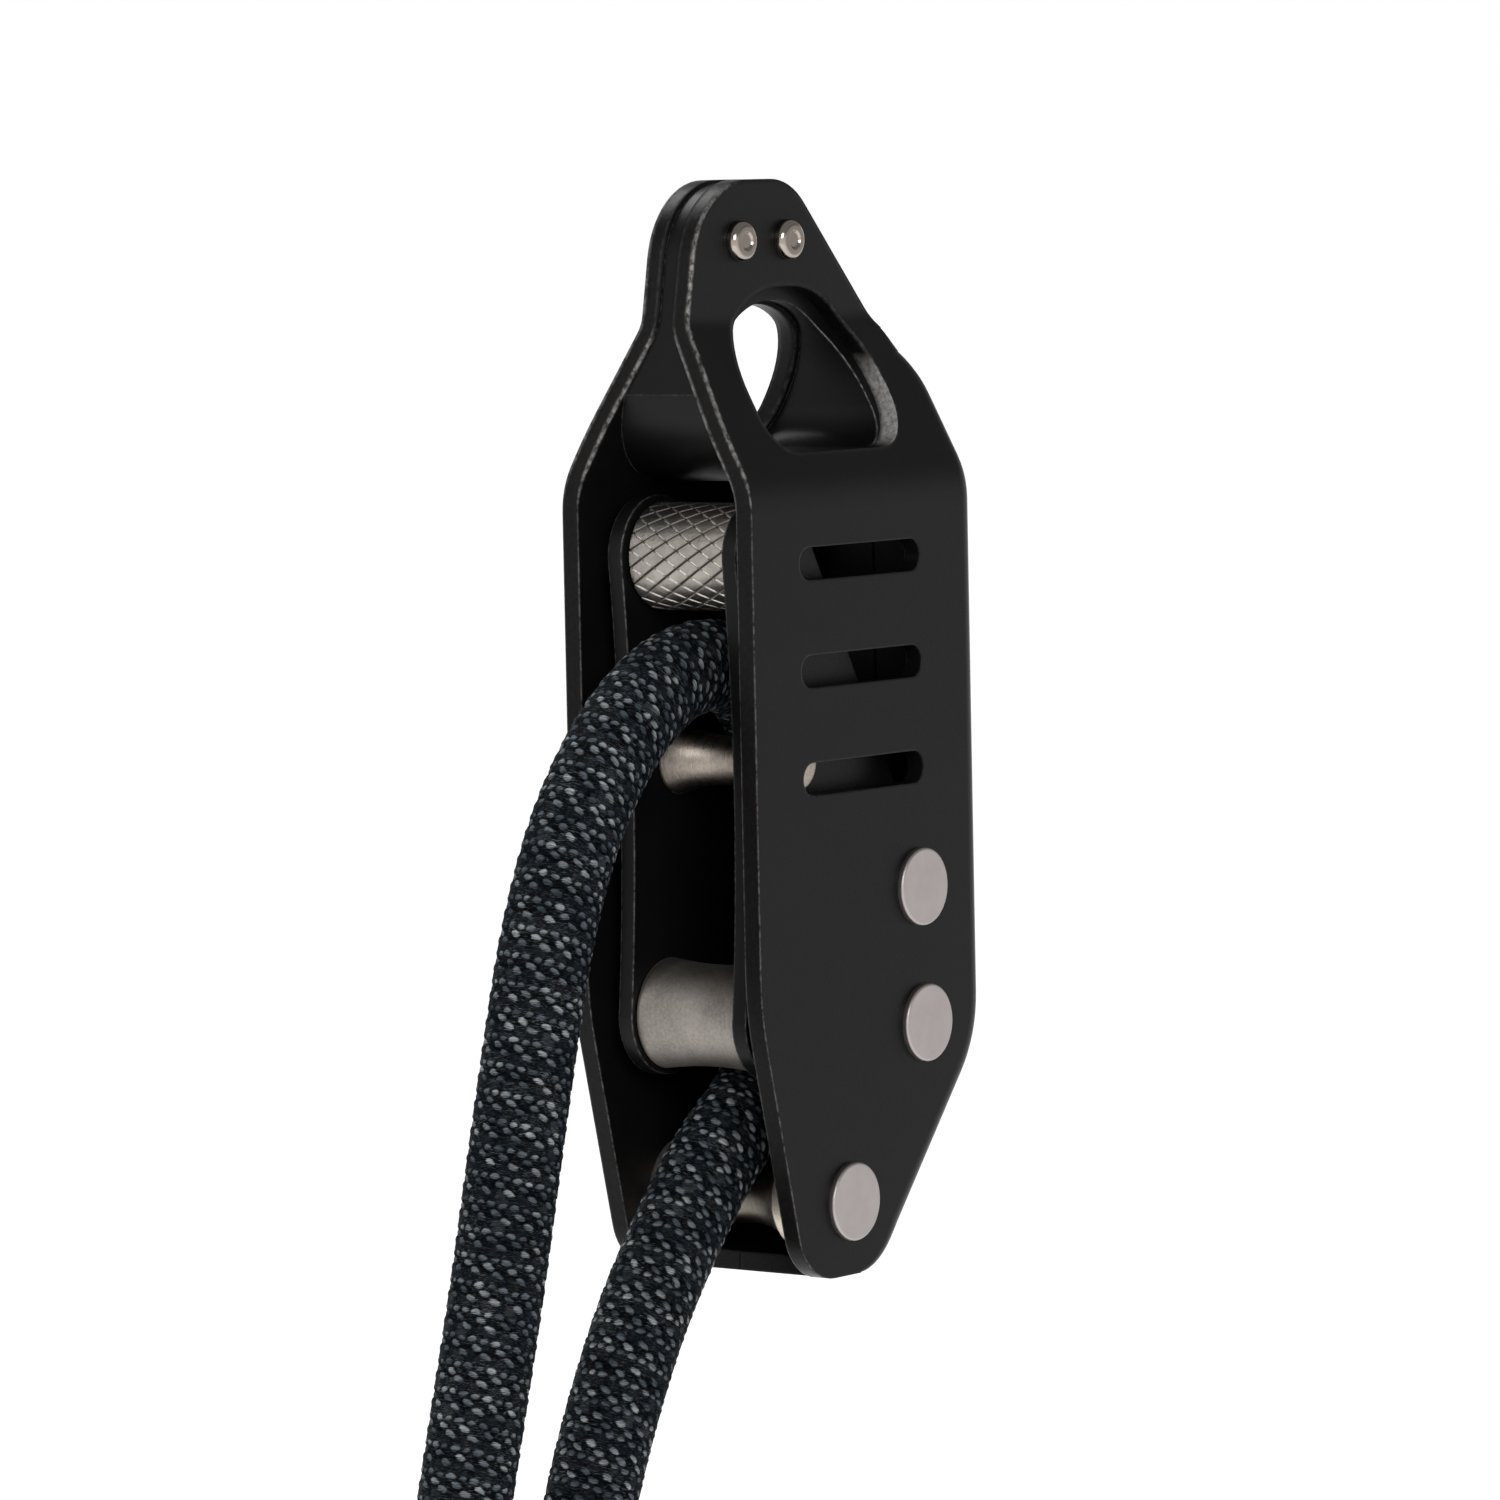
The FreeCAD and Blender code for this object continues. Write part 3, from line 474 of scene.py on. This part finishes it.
# ---------------------------------------------------------------- tubes
def tube(name, points, material):
    """Closed tube through rows of points, with the row and column of each corner of its wall."""
    rows, columns = points.shape[:2]
    i, j = np.meshgrid(np.arange(rows - 1), np.arange(columns), indexing="ij")
    # in this order the wall's faces turn outwards; the seam's right column is counted as one more
    row = np.stack([i + 1, i + 1, i, i], axis=-1).reshape(-1, 4)
    column = np.stack([j, j + 1, j + 1, j], axis=-1).reshape(-1, 4)
    faces = (row * columns + column % columns).tolist()
    faces.append(list(range(columns)))
    faces.append(list(range((rows - 1) * columns, rows * columns))[::-1])
    mesh = bpy.data.meshes.new(name)
    mesh.from_pydata(points.reshape(-1, 3).tolist(), [], faces)
    mesh.update()
    obj = bpy.data.objects.new(name, mesh)
    bpy.context.scene.collection.objects.link(obj)
    mesh.materials.append(material)
    return obj, row, column


# ---------------------------------------------------------------- rope
def route_line():
    """The rope's smooth centre line, the points of a spline guided by ROPE_ROUTE."""
    curve = bpy.data.curves.new("rope_route", "CURVE")
    curve.dimensions = "3D"
    curve.resolution_u = 48
    spline = curve.splines.new("NURBS")
    spline.points.add(len(ROPE_ROUTE) - 1)
    for point, (x, z) in zip(spline.points, ROPE_ROUTE):
        point.co = (x, 0.0, z, 1.0)
    spline.order_u = 3
    spline.use_endpoint_u = True
    holder = bpy.data.objects.new("rope_route", curve)
    bpy.context.scene.collection.objects.link(holder)
    bpy.context.view_layer.update()
    graph = bpy.context.evaluated_depsgraph_get()
    mesh = bpy.data.meshes.new_from_object(holder.evaluated_get(graph))
    line = np.array([v.co[:] for v in mesh.vertices])
    bpy.data.objects.remove(holder)
    bpy.data.meshes.remove(mesh)
    bpy.data.curves.remove(curve)
    return line


def travelled(line):
    """Distance of each point of the line from its start."""
    return np.concatenate([[0.0], np.cumsum(np.linalg.norm(np.diff(line, axis=0), axis=1))])


def yarn_height(u, v):
    """Height of the sheath, 0 to 1, at u repeats round and v repeats along."""
    height = np.zeros_like(u)
    for across, along, half_u, half_v, slant, top, _ in YARNS:
        fv = np.mod(v - along + 0.5, 1.0) - 0.5
        fu = np.mod(u - across + 0.5, 1.0) - 0.5 - fv * slant
        crown = np.clip(1.0 - (fu / half_u) ** 2 - (fv / half_v) ** 2, 0.0, 1.0)
        height = np.maximum(height, top * np.sqrt(crown))
    return height


def rope_half(name, line, at):
    """Mesh tube with a braided surface along line; at is each point's distance along the whole rope."""
    tangent = np.gradient(line, axis=0)
    tangent /= np.linalg.norm(tangent, axis=1)[:, None]
    side = np.array([0.0, 1.0, 0.0])
    up = np.cross(tangent, side)
    turn = np.arange(ROPE_AROUND) / ROPE_AROUND
    u = np.broadcast_to(turn * COLUMNS, (len(line), ROPE_AROUND))
    v = -(at / REPEAT)[:, None] - turn * DRIFT
    radius = ROPE_DIAMETER / 2 - RELIEF * RELIEF_INSIDE + RELIEF * yarn_height(u, v)
    angle = turn * 2 * np.pi
    ring = np.cos(angle)[None, :, None] * side + np.sin(angle)[None, :, None] * up[:, None, :]
    obj, row, column = tube(name, line[:, None, :] + radius[:, :, None] * ring, ROPE_MATERIAL)
    mesh = obj.data
    # the map's U and V, as yarn_height reads them, at the corners of the wall
    uv = np.zeros((len(mesh.loops), 2), np.float32)
    turn = column / ROPE_AROUND
    uv[: turn.size, 0] = (turn * COLUMNS).reshape(-1)
    uv[: turn.size, 1] = (-at[row] / REPEAT - turn * DRIFT).reshape(-1)
    mesh.uv_layers.new(name="braid").data.foreach_set("uv", uv.reshape(-1))
    mesh.polygons.foreach_set("use_smooth", [True] * (len(mesh.polygons) - 2) + [False, False])
    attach(obj, "carriage")
    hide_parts("rope")
    return obj


# ---------------------------------------------------------------- knurled drum
def ridge(way):
    """0 in a groove and 1 midway between two, at a way counted in grooves."""
    return 1.0 - np.abs(np.mod(way, 1.0) - 0.5) * 2.0


def knurled_drum():
    """The drum with its diamond knurl, between two small plain chamfers."""
    low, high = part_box("knurled_drum")
    axis = ((low.x + high.x) / 2, (low.z + high.z) / 2)
    half = (high.y - low.y) / 2
    y = np.linspace(-half, half, DRUM_ROWS)
    turn = np.arange(DRUM_AROUND) / DRUM_AROUND
    along, around = np.meshgrid(y, turn, indexing="ij")
    a = ridge(around * KNURL_STARTS + along / KNURL_PITCH)
    b = ridge(around * KNURL_STARTS - along / KNURL_PITCH)
    inside = np.minimum(a, b)
    peak = (1.0 - KNURL_CROWN) * np.minimum(inside / KNURL_GROOVE, 1.0) + KNURL_CROWN * inside
    fade = np.clip((half - np.abs(along)) / DRUM_CHAMFER, 0.0, 1.0)
    radius = DRUM_RADIUS - KNURL_DEPTH * (1.0 - peak) - (1.0 - fade) * DRUM_CHAMFER * CHAMFER_FALL
    angle = around * 2 * np.pi
    points = np.stack([axis[0] + radius * np.cos(angle), along, axis[1] + radius * np.sin(angle)], axis=-1)
    obj, _, _ = tube("drum_knurl", points, knurl_steel())
    # painted shade in the grooves of one way round, and painted glints along the other way's
    dark = np.clip(GROOVE_REACH - b / KNURL_GROOVE, 0.0, 1.0)
    bright = np.clip(GROOVE_REACH - a / KNURL_GROOVE, 0.0, 1.0)
    bright *= np.clip((b - GLINT_START) / GLINT_RISE, 0.0, 1.0)
    for label, amount in (("groove", dark), ("glint", bright)):
        shade = obj.data.attributes.new(label, "FLOAT", "POINT")
        shade.data.foreach_set("value", amount.astype(np.float32).reshape(-1))
    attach(obj, "carriage")
    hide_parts("knurled_drum")


# ---------------------------------------------------------------- build
def dress(node, material):
    """Give a CAD piece its material."""
    nodes[node].data.materials.clear()
    nodes[node].data.materials.append(material)


SHELL = anodised("shell_black", (0.0044, 0.0044, 0.0045), 0.33, 0.35, 0.098, cut=(0.0050, 0.0043, 0.0042))
CARRIAGE = anodised("carriage_black", (0.0050, 0.0050, 0.0054), 0.32, 0.25, 0.12)
# painted highlight: the block's edges are paler than the shells'
SPACER = anodised("spacer_black", (0.0042, 0.0042, 0.0045), 0.34, 0.2, 0.12, edge_wear_and_highlight=0.28)
HEADS = flat_steel("rivet_heads", (0.385, 0.350, 0.342), 0.42)
# face=0.55 paints shade on these rivets' flats
SMALL = flat_steel("small_rivets", (0.36, 0.315, 0.275), 0.11, 0.12, face=0.55)
STEEL = turned("roller_steel", (0.36, 0.315, 0.27), 0.30)
LOWER = turned("lower_roller_steel", (0.275, 0.252, 0.228), 0.48, rings=0.9)
FOOT_STEEL = turned("foot_roller_steel", (0.155, 0.138, 0.118), 0.32)
COLLAR = turned("collar_steel", (0.66, 0.59, 0.51), 0.50)
BRONZE = plain("bush_bronze", (0.42, 0.27, 0.12), 0.35, 1.0)
SLEEVE = plain("sleeve_plastic", (0.02, 0.02, 0.022), 0.6)

LOOKS = [
    (SHELL, ["front_shell", "back_shell"]),
    (SPACER, ["head_spacer"]),
    (CARRIAGE, ["carriage_front_plate", "carriage_back_plate"]),
    (HEADS, ["pivot_rivet", "stop_rivet", "foot_rivet"]),
    (SMALL, ["head_rivets"]),
    (STEEL, ["middle_roller", "drum_rivet", "middle_rivet", "lower_rivet"]),
    (LOWER, ["lower_roller"]),
    (FOOT_STEEL, ["foot_roller"]),
    (COLLAR, ["stop_sleeve", "pivot_washers", "foot_collars", "carriage_hub"]),
    (BRONZE, ["lower_roller_bush"]),
    (SLEEVE, ["rope_end_sleeves"]),
]
for material, names in LOOKS:
    for name in names:
        dress(name, material)

ROPE_MATERIAL = braid()
whole = route_line()
distance = travelled(whole)
cut = int(np.argmin(np.linalg.norm(whole - np.array(ROPE_MIDDLE), axis=1)))
halves = [
    ("rope_upper", whole[: cut + 1], distance[: cut + 1]),
    ("rope_lower", whole[cut:], distance[cut:]),
]
for name, line, at in halves:
    piece = rope_half(name, line, at)
knurled_drum()

# ---------------------------------------------------------------- floor, light, camera
def floor():
    """A wide white floor, far below the hanging object."""
    corners = [(x * FLOOR_HALF, y * FLOOR_HALF, FLOOR_Z) for x, y in ((-1, -1), (1, -1), (1, 1), (-1, 1))]
    mesh = bpy.data.meshes.new("floor")
    mesh.from_pydata(corners, [], [(0, 1, 2, 3)])
    obj = bpy.data.objects.new("floor", mesh)
    bpy.context.scene.collection.objects.link(obj)
    t = Tree("floor_white")
    t.set(Base_Color=(0.92, 0.92, 0.92, 1.0), Roughness=0.9, Specular_IOR_Level=0.1)
    glow = t.nt.nodes.new("ShaderNodeEmission")
    path = t.nt.nodes.new("ShaderNodeLightPath")
    seen = t.math("MAXIMUM", path.outputs["Is Camera Ray"],
                  t.math("MAXIMUM", path.outputs["Is Glossy Ray"], path.outputs["Is Transmission Ray"]))
    t.link(t.times(seen, FLOOR_GLOW), glow.inputs["Strength"])
    add = t.nt.nodes.new("ShaderNodeAddShader")
    t.link(t.bsdf.outputs[0], add.inputs[0])
    t.link(glow.outputs[0], add.inputs[1])
    t.link(add.outputs[0], t.out.inputs[0])
    obj.data.materials.append(t.mat)


def world():
    """A white sweep all round, up to a little over the horizon, under a dimmer ceiling."""
    w = bpy.data.worlds.new("studio")
    bpy.context.scene.world = w
    w.use_nodes = True
    nt = w.node_tree
    nt.nodes.clear()
    out = nt.nodes.new("ShaderNodeOutputWorld")
    bg = nt.nodes.new("ShaderNodeBackground")
    way = nt.nodes.new("ShaderNodeTexCoord")
    split = nt.nodes.new("ShaderNodeSeparateXYZ")
    nt.links.new(way.outputs["Generated"], split.inputs[0])
    fade = nt.nodes.new("ShaderNodeMapRange")
    fade.interpolation_type = "SMOOTHSTEP"
    for k, v in enumerate((*SWEEP_TOP, 1.0, CEILING)):
        fade.inputs[k + 1].default_value = v
    nt.links.new(split.outputs[2], fade.inputs[0])
    bg.inputs["Color"].default_value = (1, 1, 1, 1)
    nt.links.new(fade.outputs[0], bg.inputs["Strength"])
    nt.links.new(bg.outputs[0], out.inputs[0])


def area(name, place, target, size, power):
    """A lamp of a width and a height that looks at target."""
    data = bpy.data.lights.new(name, "AREA")
    data.shape = "RECTANGLE"
    data.size, data.size_y = size
    data.energy = power
    obj = bpy.data.objects.new(name, data)
    obj.location = place
    obj.rotation_euler = (Vector(target) - Vector(place)).to_track_quat("-Z", "Y").to_euler()
    bpy.context.scene.collection.objects.link(obj)


def camera():
    """The view of the photo."""
    data = bpy.data.cameras.new("camera")
    data.sensor_fit = "HORIZONTAL"
    data.sensor_width = 36.0
    data.lens = 185.98
    data.clip_start = 0.05
    data.clip_end = 100
    right = Vector((0.6032561, -0.7972982, -0.0199397))
    up = Vector((0.0731880, 0.0304454, 0.9968533))
    back = -Vector((0.7941823, 0.6028172, -0.0767190))
    m = Matrix((right, up, back)).transposed().to_4x4()
    m.translation = Vector((-0.741735, -0.559672, 0.025635))
    obj = bpy.data.objects.new("camera", data)
    obj.matrix_world = m
    bpy.context.scene.collection.objects.link(obj)
    bpy.context.scene.camera = obj


floor()
world()
middle = (0.0, 0.0, -0.05)
area("key", (-0.80, -0.97, 0.45), middle, size=(0.70, 0.45), power=8.0)
area("side", (-1.10, 0.45, 0.55), middle, size=(0.5, 0.7), power=3.0)
area("rear", (0.25, 0.75, 1.0), middle, size=(0.6, 0.5), power=6.0)
camera()
bpy.context.scene.view_settings.view_transform = "Standard"
